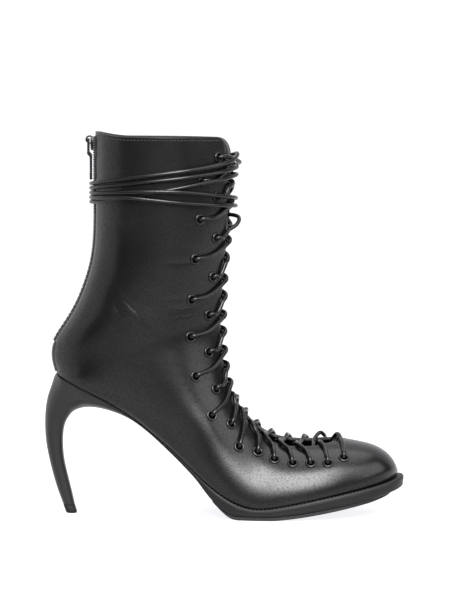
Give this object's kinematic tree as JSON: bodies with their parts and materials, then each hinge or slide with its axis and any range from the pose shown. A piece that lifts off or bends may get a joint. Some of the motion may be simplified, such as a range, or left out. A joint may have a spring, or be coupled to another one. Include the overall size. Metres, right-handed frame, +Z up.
{
  "type": "lace-up ankle boot",
  "caption": "Black leather lace-up ankle boot for the right foot, with a curved high heel, many eyelets, a round lace wound round the shaft and a back zip with a swinging pull tab.",
  "frame": {"origin": "on the floor, under the middle of the boot's box measured without the wound lace ends", "axes": "+X towards the toe, +Y towards the inner side of the foot, +Z up"},
  "size_m": [0.2308, 0.0818, 0.2451],
  "materials": {
    "black_leather": "soft satin with fine grain",
    "stay_leather": "satin",
    "sole_edge": "waxed edge",
    "black_rubber": "matt",
    "tip_rubber": "matt",
    "heel_cover": "polished",
    "lining": "matt",
    "black_enamel": "gloss",
    "leather_cord": "polished",
    "zip_metal": "dark nickel",
    "slider_metal": "dark nickel",
    "pull_metal": "dark nickel"
  },
  "bodies": {
    "boot": {"upper": "black_leather", "insole": "lining", "sole": "sole_edge", "tread": "black_rubber", "heel": "heel_cover", "heel_tip": "tip_rubber", "back_stay": "stay_leather", "zip_chain": "zip_metal", "zip_slider": "slider_metal", "lace_crossings": "leather_cord", "lace_wrap_a": "leather_cord", "lace_wrap_b": "leather_cord", "eyelet_lat_01": "black_enamel", "eyelet_lat_02": "black_enamel", "eyelet_lat_03": "black_enamel", "eyelet_lat_04": "black_enamel", "eyelet_lat_05": "black_enamel", "eyelet_lat_06": "black_enamel", "eyelet_lat_07": "black_enamel", "eyelet_lat_08": "black_enamel", "eyelet_lat_09": "black_enamel", "eyelet_lat_10": "black_enamel", "eyelet_lat_11": "black_enamel", "eyelet_lat_12": "black_enamel", "eyelet_lat_13": "black_enamel", "eyelet_lat_14": "black_enamel", "eyelet_lat_15": "black_enamel", "eyelet_lat_16": "black_enamel", "eyelet_lat_17": "black_enamel", "eyelet_lat_18": "black_enamel", "eyelet_lat_19": "black_enamel", "eyelet_lat_20": "black_enamel", "eyelet_lat_21": "black_enamel", "eyelet_lat_22": "black_enamel", "eyelet_med_01": "black_enamel", "eyelet_med_02": "black_enamel", "eyelet_med_03": "black_enamel", "eyelet_med_04": "black_enamel", "eyelet_med_05": "black_enamel", "eyelet_med_06": "black_enamel", "eyelet_med_07": "black_enamel", "eyelet_med_08": "black_enamel", "eyelet_med_09": "black_enamel", "eyelet_med_10": "black_enamel", "eyelet_med_11": "black_enamel", "eyelet_med_12": "black_enamel", "eyelet_med_13": "black_enamel", "eyelet_med_14": "black_enamel", "eyelet_med_15": "black_enamel", "eyelet_med_16": "black_enamel", "eyelet_med_17": "black_enamel", "eyelet_med_18": "black_enamel", "eyelet_med_19": "black_enamel", "eyelet_med_20": "black_enamel", "eyelet_med_21": "black_enamel", "eyelet_med_22": "black_enamel"},
    "pull": {"zip_pull": "pull_metal"}
  },
  "joints": [
    {"name": "zip_pull_swing", "type": "hinge", "parent": "boot", "child": "pull", "pos_m": [-0.08685, 0.0008, 0.2398], "axis": [0, 1, 0], "range_deg": [0, 165]}
  ]
}
